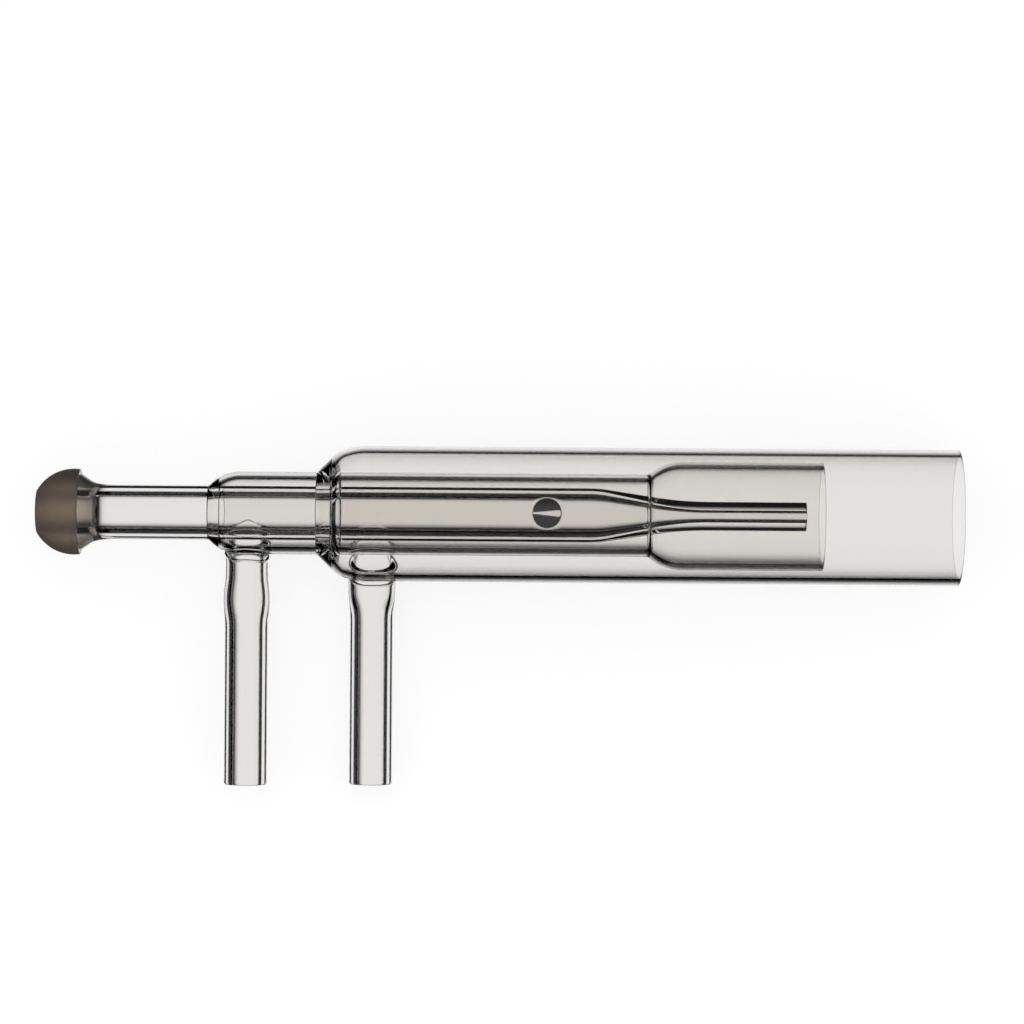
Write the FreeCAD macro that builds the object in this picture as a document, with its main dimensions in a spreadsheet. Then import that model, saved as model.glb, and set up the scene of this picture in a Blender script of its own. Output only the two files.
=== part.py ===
import FreeCAD, Part
import math
import os
import re
import Sketcher
from FreeCAD import Placement, Rotation, Vector

# Plasma torch of clear fused quartz, flame-worked into one piece. Three tubes stand one inside
# the other on the torch axis, which is +X: the injector with its ground ball at the origin, the
# intermediate tube with the wide tulip at its far end, and the outer tube with the open mouth.
# Two gas inlets stand out to one side, off the axis, so that the gas enters at a tangent and
# swirls. The torch lies on a bench, on its outer tube and the tip of the second inlet.

# Millimetres and degrees. Every radius is to the surface of the quartz.
SIZES = {
    "ball_radius": ("6.35", "ground ball of a 12/5 joint"),
    "ball_mouth_radius": ("3.16", "flat ring at the mouth of the ball"),
    "stem_radius": ("4.0", "injector tube, outside"),
    "stem_bore": ("2.5", "injector tube, bore"),
    "neck_end": ("11.4", "where the neck behind the ball has become the straight stem"),
    "tail_bend": ("12.0", "long hollow curve that runs out into the stem"),
    "tail_slope": ("11.8", "slope of the neck where that curve begins"),
    "neck_bend": ("2.9", "tight hollow curve of the neck"),
    "neck_slope": ("35.0", "steepest slope of the neck"),
    "neck_run": ("1.2", "straight part of the neck"),
    "lip_bend": ("1.5", "rounded top of the neck, beside the ground edge"),
    "lip_slope": ("15.0", "slope of the neck at the ground edge"),
    "taper_start": ("81.5", "where the injector begins to narrow"),
    "taper_slope": ("8.5", "slope of the narrowing"),
    "taper_top_bend": ("18.0", "curve into the narrowing"),
    "taper_foot_bend": ("53.0", "curve out of the narrowing"),
    "tip_radius": ("2.15", "injector tip, outside"),
    "tip_bore": ("0.65", "injector tip, bore"),
    "tip_end": ("113.5", "square-cut end of the injector"),
    "tube_radius": ("6.1", "intermediate tube, outside"),
    "tube_bore": ("5.0", "intermediate tube, bore"),
    "base_end": ("30.0", "where its half-round base has become the straight tube"),
    "tulip_radius": ("8.0", "tulip, outside"),
    "tulip_bore": ("7.0", "tulip, bore"),
    "tulip_full": ("95.0", "where its rounded flare has reached the full width"),
    "tulip_end": ("115.9", "square-cut end of the tulip"),
    "seam_place": ("90.25", "ring weld between the intermediate tube and the tulip"),
    "seam_width": ("1.2", "foot of that ring, on the bore"),
    "seam_crown": ("0.5", "crown of that ring"),
    "seam_height": ("0.45", "how far that ring stands into the bore"),
    "outer_radius": ("10.0", "outer tube, outside"),
    "outer_wall": ("1.0", "outer tube, wall"),
    "outer_full": ("48.6", "where the outer tube has reached its full width"),
    "outer_long_slope": ("20.0", "slope where its shoulder's long curve meets the short one"),
    "outer_short_bend": ("4.0", "short curve of its shoulder"),
    "outer_slope": ("45.0", "slope of the straight part of its shoulder"),
    "mouth_end": ("136.04", "square-cut mouth of the outer tube"),
    "weld_depth": ("0.5", "how far one tube is melted into the other"),
    "base_weld_fillet": ("0.4", "hollow where the intermediate tube meets the stem"),
    "outer_weld_fillet": ("0.5", "hollow where the outer tube meets the intermediate tube"),
    "inner_gas_end": ("0.1", "blunt closed end of the inner gas space"),
    "outer_gas_end": ("0.3", "blunt closed end of the outer gas space"),
    "arm_radius": ("3.175", "gas inlets, outside, for quarter inch fittings"),
    "arm_bore": ("2.0", "gas inlets, bore"),
    "arm_reach": ("40.28", "torch axis to the open end of an inlet"),
    "arm_polish": ("0.3", "melted edges of an inlet's open end"),
    "first_arm_past": ("0.86", "inlet of the intermediate tube, past where that tube is straight"),
    "first_arm_aside": ("2.8", "that inlet, off the torch axis, towards the bench"),
    "first_weld_fillet": ("1.0", "hollow where it meets the tube"),
    "first_neck_radius": ("3.1", "its neck, outside"),
    "first_neck_bore": ("2.1", "its neck, bore"),
    "first_neck_length": ("2.7", "its neck, from the tube's surface"),
    "first_bulge_radius": ("3.4", "its blown bulge, outside"),
    "first_bulge_bore": ("2.4", "its blown bulge, bore"),
    "first_bulge_length": ("6.7", "its bulge, from the tube's surface"),
    "first_bend_length": ("10.9", "where it has become straight, from the tube's surface"),
    "second_arm_past": ("0.71", "inlet of the outer tube, past where that tube is straight"),
    "second_arm_aside": ("5.5", "that inlet, off the torch axis, towards the bench"),
    "second_weld_fillet": ("0.8", "hollow where it meets the tube"),
    "second_root_radius": ("3.5", "its wide root, outside"),
    "second_root_bore": ("2.7", "its wide root, bore"),
    "second_root_length": ("1.1", "its wide root, from the tube's surface"),
    "second_bend_length": ("5.8", "where it has become straight, from the tube's surface"),
    "bead_place": ("75.2", "spacer between the intermediate and the outer tube, along the axis"),
    "bead_aside": ("0.27", "the spacer, off the torch axis, away from the inlets"),
    "bead_radius": ("2.05", "the spacer, where it stands on the bore of the outer tube"),
    "bead_gap": ("0.2", "from its end to the intermediate tube"),
    "bead_ridge": ("0.65", "rounding of the ridge that its end is pinched into"),
    "bead_slope": ("45.0", "slopes beside that ridge"),
}

FULL_TURN = 360
HALF_TURN = 180
NEAR = 0.01
WELD_SPOTS = 7

doc = FreeCAD.newDocument("torch")
sheet = doc.addObject("Spreadsheet::Sheet", "Sizes")
for row, (alias, (size, meaning)) in enumerate(SIZES.items(), start=1):
    sheet.set(f"A{row}", alias)
    sheet.set(f"B{row}", size)
    sheet.set(f"C{row}", meaning)
    sheet.setAlias(f"B{row}", alias)
doc.recompute()


def bound(formula):
    """The formula with each size's name pointed at its cell."""
    return re.sub(r"[a-z_]+", lambda word: "Sizes." + word[0] if word[0] in SIZES else word[0], formula)


def worth(formula):
    """What the formula comes to now."""
    return float(sheet.evalExpression(bound(formula)))


def new_sketch(body, name, plane, offsets=(), turn=0):
    """Sketch on one of the body's own planes, moved by formulas and turned about its normal."""
    sketch = body.newObject("Sketcher::SketchObject", name)
    support = [item for item in body.Origin.OriginFeatures if item.Role == plane][0]
    sketch.AttachmentSupport = [(support, "")]
    sketch.MapMode = "FlatFace"
    sketch.AttachmentOffset = Placement(Vector(), Rotation(Vector(0, 0, 1), turn))
    for axis, formula in offsets:
        sketch.setExpression(f"AttachmentOffset.Base.{axis}", bound(formula))
    return sketch


def hold(sketch, kind, side, end, formula):
    """Distance of a side's end from the sketch's origin, along one axis."""
    if formula == "0":
        axis = -2 if kind == "DistanceX" else -1
        sketch.addConstraint(Sketcher.Constraint("PointOnObject", side, end, axis))
        return
    number = sketch.addConstraint(Sketcher.Constraint(kind, -1, 1, side, end, worth(formula)))
    sketch.setExpression(f"Constraints[{number}]", bound(formula))


def draw(sketch, corners):
    """Closed outline of straight sides and arcs.

    A corner is its place along and its place across, as formulas. Two more entries make the side
    that leads on from it an arc: its radius, and 1 to turn left or -1 to turn right.
    """
    spots = [Vector(worth(corner[0]), worth(corner[1])) for corner in corners]
    ends = []
    for here, there, corner in zip(spots, spots[1:] + spots[:1], corners):
        if len(corner) == 2:
            side = sketch.addGeometry(Part.LineSegment(here, there))
            ends.append((side, 1, 2))
            continue
        radius, turn = worth(corner[2]), corner[3]
        chord = there - here
        left = Vector(-chord.y, chord.x).normalize()
        centre = (here + there) * 0.5 + left * turn * math.sqrt(radius**2 - chord.Length**2 / 4)
        circle = Part.Circle(centre, Vector(0, 0, 1), radius)
        first, last = (here, there) if turn > 0 else (there, here)
        arc = Part.ArcOfCircle(circle, circle.parameter(first), circle.parameter(last))
        side = sketch.addGeometry(arc)
        ends.append((side, 1, 2) if turn > 0 else (side, 2, 1))
    for (side, start, end), (after, after_start, _) in zip(ends, ends[1:] + ends[:1]):
        sketch.addConstraint(Sketcher.Constraint("Coincident", side, end, after, after_start))
    for (side, start, end), corner in zip(ends, corners):
        hold(sketch, "DistanceX", side, start, corner[0])
        hold(sketch, "DistanceY", side, start, corner[1])
        if len(corner) > 2:
            number = sketch.addConstraint(Sketcher.Constraint("Radius", side, worth(corner[2])))
            sketch.setExpression(f"Constraints[{number}]", bound(corner[2]))


def turned(body, name, sketch, axis, kind="PartDesign::Revolution"):
    """Full turn of the sketch about one of its own axes."""
    feature = body.newObject(kind, name)
    feature.Profile = sketch
    feature.ReferenceAxis = (sketch, [axis])
    feature.Angle = FULL_TURN
    doc.recompute()
    return feature


def dressed(body, name, base, size, chosen, kind="Fillet", measure="Radius"):
    """Fillet or chamfer on the edges of the base for which chosen(edge) holds."""
    names = [f"Edge{n}" for n, edge in enumerate(base.Shape.Edges, start=1) if chosen(edge)]
    if not names:
        raise ValueError(f"{name} finds no edge")
    edges = body.newObject(f"PartDesign::{kind}", name)
    edges.Base = (base, names)
    edges.setExpression(measure, bound(size))
    doc.recompute()
    return edges


def ring(place, radius):
    """Chooses the full circle about the torch axis at this place and radius."""
    def chosen(edge):
        curve = edge.Curve
        if not isinstance(curve, Part.Circle) or abs(curve.Radius - worth(radius)) > NEAR:
            return False
        return (curve.Center - Vector(worth(place), 0, 0)).Length < NEAR
    return chosen


body = doc.addObject("PartDesign::Body", "torch")
body.Label = "torch_body"


# The tubes are built from the outside in: each is turned solid, takes its inlet, and is then
# hollowed, so that no inlet reaches into the tubes that stand inside it.

# The outer tube: its shoulder is closed down onto the intermediate tube and fused there, and its
# mouth is cut square. Inner and outer curves of the shoulder share their centres.
def shoulder(wall, end_height):
    """Corners of the shoulder, this far inside, from its full width down to this height."""
    long_bend = f"(outer_radius - {wall})"
    long_place = f"outer_full - {long_bend} * sin(outer_long_slope)"
    long_height = f"{long_bend} * cos(outer_long_slope)"
    short_bend = f"(outer_short_bend - {wall})"
    short_place = f"{long_place} - {short_bend} * (sin(outer_slope) - sin(outer_long_slope))"
    short_height = f"{long_height} - {short_bend} * (cos(outer_long_slope) - cos(outer_slope))"
    foot = f"{short_place} - ({short_height} - ({end_height})) / tan(outer_slope)"
    return [
        ("outer_full", long_bend),
        (long_place, long_height),
        (short_place, short_height),
        (foot, end_height),
    ]


skin = shoulder("0", "tube_radius")
lining = shoulder("outer_wall", "tube_radius + outer_gas_end")
outer_outline = new_sketch(body, "outer_outline", "XY_Plane")
draw(outer_outline, [
    (skin[3][0], "0"),
    skin[3],
    (*skin[2], "outer_short_bend", -1),
    (*skin[1], "outer_radius", -1),
    skin[0],
    ("mouth_end", "outer_radius"),
    ("mouth_end", "0"),
])
turned(body, "outer", outer_outline, "H_Axis")


# The two gas inlets are tubes fused onto the side of their tube, with a hollow weld all round. The
# bore of each runs past the torch axis, close to the wall.
def sway(near, far):
    """Corners of a smooth step between two widths: two equal arcs that meet halfway."""
    (near_radius, near_place), (far_radius, far_place) = near, far
    step = f"({far_radius} - ({near_radius}))"
    length = f"({far_place} - ({near_place}))"
    bend = f"(({length} / 2)^2 + ({step} / 2)^2) / abs({step})"
    way = 1 if worth(step) < 0 else -1
    middle = (f"({near_radius} + {far_radius}) / 2", f"({near_place} + {far_place}) / 2")
    return [(*near, bend, way), (*middle, bend, -way)]


def branch_outline(name, place, aside, stations):
    """Half section of an inlet, or of its bore, from level with the torch axis out to its end."""
    offsets = [("x", place), ("z", f"-{aside}")]
    outline = new_sketch(body, name, "XY_Plane", offsets, HALF_TURN)
    curve = [corner for pair in zip(stations, stations[1:]) for corner in sway(*pair)]
    last = stations[-1]
    draw(outline, [("0", "0"), (stations[0][0], "0"), *curve, last, (last[0], "arm_reach"), ("0", "arm_reach")])
    return outline


def inlet(name, place, aside, weld, stations):
    """Solid inlet on its solid tube, with the weld rounded."""
    arm = turned(body, name, branch_outline(f"{name}_outline", place, aside, stations), "V_Axis")

    def at_weld(edge):
        spots = edge.discretize(WELD_SPOTS)
        off_axis = [math.hypot(spot.x - worth(place), spot.z + worth(aside)) for spot in spots]
        depths = [spot.y for spot in spots]
        return (max(abs(width - worth(stations[0][0])) for width in off_axis) < NEAR
                and -worth(stations[0][1]) + NEAR < min(depths) and max(depths) < -NEAR
                and max(depths) - min(depths) > NEAR)

    dressed(body, f"{name}_weld", arm, weld, at_weld)


def open_inlet(name, place, aside, stations):
    """Opens an inlet's bore into its hollowed tube and melts the edges of its end."""
    bore_outline = branch_outline(f"{name}_bore_outline", place, aside, stations)
    bore = turned(body, f"{name}_bore", bore_outline, "V_Axis", "PartDesign::Groove")

    def at_open_end(edge):
        curve = edge.Curve
        return (isinstance(curve, Part.Circle) and abs(curve.Center.x - worth(place)) < NEAR
                and abs(curve.Center.y + worth("arm_reach")) < NEAR)

    dressed(body, f"{name}_polish", bore, "arm_polish", at_open_end, "Chamfer", "Size")


second_place = "(outer_full + second_arm_past)"
root_end_place = "outer_radius + second_root_length"
second_straight = "outer_radius + second_bend_length"
inlet("second_inlet", second_place, "second_arm_aside", "second_weld_fillet",
      [("second_root_radius", root_end_place), ("arm_radius", second_straight)])

outer_hollow = new_sketch(body, "outer_hollow", "XY_Plane")
draw(outer_hollow, [
    (lining[3][0], "0"),
    lining[3],
    (*lining[2], "outer_short_bend - outer_wall", -1),
    (*lining[1], "outer_radius - outer_wall", -1),
    lining[0],
    ("mouth_end", "outer_radius - outer_wall"),
    ("mouth_end", "0"),
])
turned(body, "outer_gas_space", outer_hollow, "H_Axis", "PartDesign::Groove")
open_inlet("second_inlet", second_place, "second_arm_aside",
           [("second_root_bore", root_end_place), ("arm_bore", second_straight)])


# The intermediate tube: its base is closed half round and fused to the injector, and a wider
# tube, the tulip, is butted on at the far end. The wall keeps its thickness round each bend.
base_foot = "base_end - sqrt(tube_radius^2 - stem_radius^2)"
gas_end_height = "(stem_radius + inner_gas_end)"
base_inner_foot = f"base_end - sqrt(tube_bore^2 - {gas_end_height}^2)"
flare_start = "tulip_full - sqrt(tulip_radius^2 - tube_radius^2)"
flare_inner_start = "tulip_full - sqrt(tulip_bore^2 - tube_bore^2)"

intermediate_outline = new_sketch(body, "intermediate_outline", "XY_Plane")
draw(intermediate_outline, [
    (base_foot, "0"),
    (base_foot, "stem_radius", "tube_radius", -1),
    ("base_end", "tube_radius"),
    (flare_start, "tube_radius", "tulip_radius", -1),
    ("tulip_full", "tulip_radius"),
    ("tulip_end", "tulip_radius"),
    ("tulip_end", "0"),
])
turned(body, "intermediate", intermediate_outline, "H_Axis")

first_place = "(base_end + first_arm_past)"
neck_end_place = "tube_radius + first_neck_length"
bulge_place = "tube_radius + first_bulge_length"
first_straight = "tube_radius + first_bend_length"
inlet("first_inlet", first_place, "first_arm_aside", "first_weld_fillet",
      [("first_neck_radius", neck_end_place), ("first_bulge_radius", bulge_place),
       ("arm_radius", first_straight)])

inner_hollow = new_sketch(body, "inner_hollow", "XY_Plane")
draw(inner_hollow, [
    (base_foot, "0"),
    (base_foot, "stem_radius - weld_depth"),
    (base_inner_foot, "stem_radius - weld_depth"),
    (base_inner_foot, gas_end_height, "tube_bore", -1),
    ("base_end", "tube_bore"),
    (flare_inner_start, "tube_bore", "tulip_bore", -1),
    ("tulip_full", "tulip_bore"),
    ("tulip_end", "tulip_bore"),
    ("tulip_end", "0"),
])
turned(body, "inner_gas_space", inner_hollow, "H_Axis", "PartDesign::Groove")
open_inlet("first_inlet", first_place, "first_arm_aside",
           [("first_neck_bore", neck_end_place), ("first_bulge_bore", bulge_place),
            ("arm_bore", first_straight)])

# The low ring left in the bore where the flame butted the tulip on.
seam_outline = new_sketch(body, "seam_outline", "XY_Plane")
draw(seam_outline, [
    ("seam_place - seam_width / 2", "tube_bore + weld_depth"),
    ("seam_place - seam_width / 2", "tube_bore"),
    ("seam_place - seam_crown / 2", "tube_bore - seam_height"),
    ("seam_place + seam_crown / 2", "tube_bore - seam_height"),
    ("seam_place + seam_width / 2", "tube_bore"),
    ("seam_place + seam_width / 2", "tube_bore + weld_depth"),
])
turned(body, "tulip_seam", seam_outline, "H_Axis")


# The injector: a tube whose near end is blown into the ball of a ground joint, and whose far end
# is drawn down to the fine tip that feeds the plasma.
ball_place = "sqrt(ball_radius^2 - ball_mouth_radius^2)"
tail_place = "neck_end - tail_bend * sin(tail_slope)"
tail_height = "stem_radius + tail_bend * (1 - cos(tail_slope))"
foot_place = f"{tail_place} - neck_bend * (sin(neck_slope) - sin(tail_slope))"
foot_height = f"{tail_height} + neck_bend * (cos(tail_slope) - cos(neck_slope))"
crown_place = f"{foot_place} - neck_run * cos(neck_slope)"
crown_height = f"{foot_height} + neck_run * sin(neck_slope)"
lip_place = f"{crown_place} - lip_bend * (sin(neck_slope) - sin(lip_slope))"
lip_height = f"{crown_height} + lip_bend * (cos(lip_slope) - cos(neck_slope))"
ground_height = f"sqrt(ball_radius^2 - ({lip_place} - {ball_place})^2)"


def narrowing(start, end):
    """Corners of the injector's taper, from one radius to a smaller one."""
    bends = "(taper_top_bend + taper_foot_bend)"
    run = f"({start} - {end} - {bends} * (1 - cos(taper_slope))) / tan(taper_slope)"
    finish = f"taper_start + {bends} * sin(taper_slope) + {run}"
    return [
        ("taper_start", start),
        ("taper_start + taper_top_bend * sin(taper_slope)",
         f"{start} - taper_top_bend * (1 - cos(taper_slope))"),
        (f"{finish} - taper_foot_bend * sin(taper_slope)",
         f"{end} + taper_foot_bend * (1 - cos(taper_slope))"),
        (finish, end),
    ]


outside = narrowing("stem_radius", "tip_radius")
inside = narrowing("stem_bore", "tip_bore")
injector_outline = new_sketch(body, "injector_outline", "XY_Plane")
draw(injector_outline, [
    ("0", "stem_bore"),
    ("0", "ball_mouth_radius", "ball_radius", -1),
    (lip_place, ground_height),
    (lip_place, lip_height, "lip_bend", -1),
    (crown_place, crown_height),
    (foot_place, foot_height, "neck_bend", 1),
    (tail_place, tail_height, "tail_bend", 1),
    ("neck_end", "stem_radius"),
    (*outside[0], "taper_top_bend", -1),
    outside[1],
    (*outside[2], "taper_foot_bend", 1),
    outside[3],
    ("tip_end", "tip_radius"),
    ("tip_end", "tip_bore"),
    (*inside[3], "taper_foot_bend", -1),
    inside[2],
    (*inside[1], "taper_top_bend", 1),
    inside[0],
])
injector = turned(body, "injector", injector_outline, "H_Axis")

# Glass flows into the corner of a flame weld, so neither ring is sharp outside.
base_weld = dressed(body, "base_weld", injector, "base_weld_fillet", ring(base_foot, "stem_radius"))
dressed(body, "outer_weld", base_weld, "outer_weld_fillet", ring(skin[3][0], "tube_radius"))


# The spacer: a dab of quartz melted onto the bore of the outer tube, opposite the bench, and
# pinched into a ridge along the torch. It hangs just clear of the intermediate tube.
bead_end = "(tube_radius + bead_gap)"
bead_top = "outer_radius - outer_wall + weld_depth"
bead_outline = new_sketch(body, "bead_outline", "XZ_Plane", [("x", "bead_place"), ("z", "-bead_aside")])
draw(bead_outline, [
    ("0", bead_end),
    ("bead_radius", bead_end),
    ("bead_radius", bead_top),
    ("0", bead_top),
])
turned(body, "bead", bead_outline, "V_Axis")

clear_of_bead = "(bead_radius + bead_gap)"
slope_foot = "bead_ridge * sin(bead_slope)"
foot_rise = f"{bead_end} + bead_ridge * (1 - cos(bead_slope))"
slope_rise = f"{foot_rise} + ({clear_of_bead} - {slope_foot}) * tan(bead_slope)"
pinch_outline = new_sketch(body, "pinch_outline", "YZ_Plane", [("x", "bead_aside"), ("z", "bead_place")])
draw(pinch_outline, [
    (f"-{clear_of_bead}", "tube_radius + bead_gap / 2"),
    (clear_of_bead, "tube_radius + bead_gap / 2"),
    (clear_of_bead, slope_rise),
    (slope_foot, foot_rise, "bead_ridge", -1),
    (f"-{slope_foot}", foot_rise),
    (f"-{clear_of_bead}", slope_rise),
])
pinch = body.newObject("PartDesign::Pocket", "pinch")
pinch.Profile = pinch_outline
pinch.Midplane = True
pinch.setExpression("Length", bound(f"2 * {clear_of_bead}"))
doc.recompute()


# At rest the torch is rolled about its axis until the second inlet, the lower of the two, touches
# the bench that the outer tube lies on. It touches where its straight side meets the melted edge.
tip_along = "(arm_reach - arm_polish)"
tip_below = "(second_arm_aside + arm_radius)"
roll = (f"asin(outer_radius / sqrt({tip_along}^2 + {tip_below}^2))"
        f" - atan({tip_below} / {tip_along})")
body.Placement = Placement(Vector(), Rotation(Vector(1, 0, 0), worth(roll)))
body.setExpression("Placement.Rotation.Angle", bound(roll))
body.Tip = pinch
doc.recompute()


faults = [item.Name for item in doc.Objects if "Invalid" in item.State or "Error" in item.State]
if faults:
    raise ValueError(f"not computed: {faults}")
shape = body.Shape
if shape.isNull() or not shape.isValid() or len(shape.Solids) != 1:
    raise ValueError("the torch is not one sound solid")
os.makedirs("parts", exist_ok=True)
shape.exportStep(f"parts/{body.Label}.step")
print(body.Label, round(shape.Volume, 2), shape.BoundBox)
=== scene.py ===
import math

import bpy
import numpy as np
from mathutils import Matrix, Vector


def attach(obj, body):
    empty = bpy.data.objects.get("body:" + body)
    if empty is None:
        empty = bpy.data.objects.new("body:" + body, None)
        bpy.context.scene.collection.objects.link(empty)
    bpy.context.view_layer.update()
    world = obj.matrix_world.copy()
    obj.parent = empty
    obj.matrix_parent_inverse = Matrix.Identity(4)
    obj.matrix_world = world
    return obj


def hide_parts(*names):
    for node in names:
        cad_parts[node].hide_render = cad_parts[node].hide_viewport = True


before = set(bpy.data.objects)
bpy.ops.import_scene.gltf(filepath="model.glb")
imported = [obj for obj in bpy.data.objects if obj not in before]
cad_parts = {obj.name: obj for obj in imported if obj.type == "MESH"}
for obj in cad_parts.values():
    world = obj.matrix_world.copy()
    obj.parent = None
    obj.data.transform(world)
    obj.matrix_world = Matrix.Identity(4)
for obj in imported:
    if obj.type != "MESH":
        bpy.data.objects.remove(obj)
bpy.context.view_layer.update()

# The injector: clear fused quartz tube, 8 mm outside and 5 mm bore. Its near end is blown out into
# the ball of a 12/5 ground joint and fused flat at the mouth. The far end is drawn down in the
# flame to a fine tip and cut square. All sizes here and below are in millimetres.
STEM, STEM_BORE = 4.0, 2.5
BALL, BALL_MOUTH = 6.35, 3.16
GROUND_END, LIP, LIP_SLOPE = 6.42, 1.5, 15.0
NECK, NECK_SLOPE, TAIL, TAIL_SLOPE, NECK_END = 2.9, 35.0, 12.0, 11.8, 11.4
TAPER_START, TAPER_SLOPE, TAPER_TOP, TAPER_FOOT = 81.5, 8.5, 18.0, 53.0
TIP, TIP_BORE, TIP_END = 2.15, 0.65, 113.5
# Radii of the mouth's edges, the degrees that edges take off the ball, and lengths off its far face.
MOUTH_INSIDE, MOUTH_OUTSIDE, MOUTH_TRIM, GROUND_TRIM = 0.3, 0.25, 1.5, 1.0
GROUND_EDGE, LIP_EDGE, CUT = 0.12, 0.1, 0.12
# An arc has a point every so many degrees, a straight run a guard point close inside each end.
TURN, EDGE_TURN, BALL_TURN, TAIL_TURN, TAPER_TURN, TIP_TURN = 6.0, 18.0, 4.0, 3.0, 1.5, 1.0
GUARD, SAME = 0.06, 1e-5


def line(start, end):
    """Straight run: its two ends, and a point close inside each that keeps the shading straight."""
    start, end = np.array(start, float), np.array(end, float)
    run = np.linalg.norm(end - start)
    near = min(GUARD, run / 3) / run
    share = np.array([0, near, 1 - near, 1])[:, None]
    return start + (end - start) * share


def arc(centre, radius, first, last, turn=TURN):
    """Circle about the centre from one angle to another, in degrees, a point every turn or less."""
    angle = np.radians(np.linspace(first, last, max(int(np.ceil(abs(last - first) / turn)), 2) + 1))
    return np.stack([centre[0] + radius * np.cos(angle), centre[1] + radius * np.sin(angle)], axis=1)


def outline(*runs):
    """Runs joined end to end, with each point that two runs share kept once."""
    points = np.concatenate(runs)
    apart = np.linalg.norm(np.diff(points, axis=0), axis=1) > SAME
    return points[np.concatenate([[True], apart])]


def bevel(corner, before, after, radius):
    """Arc that rounds the corner between the directions to it and from it, tangent to both."""
    before, after = np.radians(before), np.radians(after)
    into = np.array([np.cos(before), np.sin(before)])
    bend = (after - before + np.pi) % (2 * np.pi) - np.pi
    start = np.array(corner) - into * radius * abs(np.tan(bend / 2))
    left = np.array([-into[1], into[0]]) * np.sign(bend)
    first = np.degrees(np.arctan2(*(-left)[::-1]))
    return arc(start + left * radius, radius, first, first + np.degrees(bend), EDGE_TURN)


deg = math.radians
ball_place = math.sqrt(BALL**2 - BALL_MOUTH**2)
mouth_way = math.degrees(math.atan2(BALL_MOUTH, -ball_place))
ground_way = math.degrees(math.acos((GROUND_END - ball_place) / BALL))
ground_top = BALL * math.sin(deg(ground_way))
tail_centre = (NECK_END, STEM + TAIL)
tail_foot = (NECK_END - TAIL * math.sin(deg(TAIL_SLOPE)), STEM + TAIL * (1 - math.cos(deg(TAIL_SLOPE))))
neck_centre = (tail_foot[0] + NECK * math.sin(deg(TAIL_SLOPE)),
               tail_foot[1] + NECK * math.cos(deg(TAIL_SLOPE)))
neck_foot = (neck_centre[0] - NECK * math.sin(deg(NECK_SLOPE)),
             neck_centre[1] - NECK * math.cos(deg(NECK_SLOPE)))
lip_run = LIP * (math.sin(deg(NECK_SLOPE)) - math.sin(deg(LIP_SLOPE)))
crown_run = (neck_foot[0] - GROUND_END - lip_run) * math.tan(deg(NECK_SLOPE))
crown = (GROUND_END + lip_run, neck_foot[1] + crown_run)
lip_centre = (crown[0] - LIP * math.sin(deg(NECK_SLOPE)), crown[1] - LIP * math.cos(deg(NECK_SLOPE)))
lip_top = lip_centre[1] + LIP * math.cos(deg(LIP_SLOPE))
ball_skin = outline(
    bevel((0, STEM_BORE), 180, 90, MOUTH_INSIDE),
    bevel((0, BALL_MOUTH), 90, mouth_way - 90, MOUTH_OUTSIDE),
    arc((ball_place, 0), BALL, mouth_way - MOUTH_TRIM, ground_way + GROUND_TRIM, BALL_TURN),
    line((GROUND_END, ground_top - GROUND_EDGE), (GROUND_END, lip_top + LIP_EDGE)),
    arc(lip_centre, LIP, 90 - LIP_SLOPE, 90 - NECK_SLOPE),
    arc(neck_centre, NECK, 270 - NECK_SLOPE, 270 - TAIL_SLOPE),
    arc(tail_centre, TAIL, 270 - TAIL_SLOPE, 270, TAIL_TURN),
)


def narrowing(start, end):
    """Drawn-down stretch from one radius to a smaller one, as two arcs with a slope between."""
    bends = TAPER_TOP + TAPER_FOOT
    slope = deg(TAPER_SLOPE)
    run = (start - end - bends * (1 - math.cos(slope))) / math.tan(slope)
    finish = TAPER_START + bends * math.sin(slope) + run
    return outline(
        arc((TAPER_START, start - TAPER_TOP), TAPER_TOP, 90, 90 - TAPER_SLOPE, TAPER_TURN),
        arc((finish, end + TAPER_FOOT), TAPER_FOOT, 270 - TAPER_SLOPE, 270, TIP_TURN),
    )


drawn_outside = narrowing(STEM, TIP)
drawn_inside = narrowing(STEM_BORE, TIP_BORE)
injector_skin = outline(
    drawn_outside,
    line(drawn_outside[-1], (TIP_END - CUT, TIP)),
    bevel((TIP_END, TIP), 0, -90, CUT),
    bevel((TIP_END, TIP_BORE), -90, 180, CUT),
    line((TIP_END - CUT, TIP_BORE), drawn_inside[-1]),
    drawn_inside[::-1],
    line(drawn_inside[0], (MOUTH_INSIDE, STEM_BORE)),
)

# The intermediate tube: 12.2 mm outside and 10 mm bore. Its near end is closed half round onto the
# injector and fused there. At the far end a wider tube, the tulip, is butted on with a ring weld
# that stands a little into the bore. The tulip is cut square.
TUBE, TUBE_BORE, BASE_END = 6.1, 5.0, 30.0
TULIP, TULIP_BORE, TULIP_FULL, TULIP_END = 8.0, 7.0, 95.3, 115.9
BASE_WELD, BASE_GAS = 0.4, 0.12
FLARE_WELD, GAS_TURN = 0.4, 20.0
# The seam's bead: its radius, place and height, the reach of its sides in radii, and its angles.
SEAM, SEAM_PLACE, SEAM_HEIGHT = 0.16, 90.45, 0.12
SEAM_STEP, SEAM_FOOT, SEAM_FILLET = 1.13, 1.36, 0.27
SEAM_TURN, SEAM_NEAR, SEAM_FAR = 15.0, 20.0, 5.0


def onto_ball(radius, level, fillet, centre, side):
    """Fillet that stands on a straight tube at this level and leans on a rounded end.

    side is 1 outside the rounded end and -1 inside it. Gives the fillet's centre and the angle at
    which it touches the rounded end.
    """
    rise = level + fillet
    reach = radius + side * fillet
    place = centre - math.sqrt(reach**2 - rise**2)
    return (place, rise), math.degrees(math.atan2(rise, place - centre))


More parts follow.
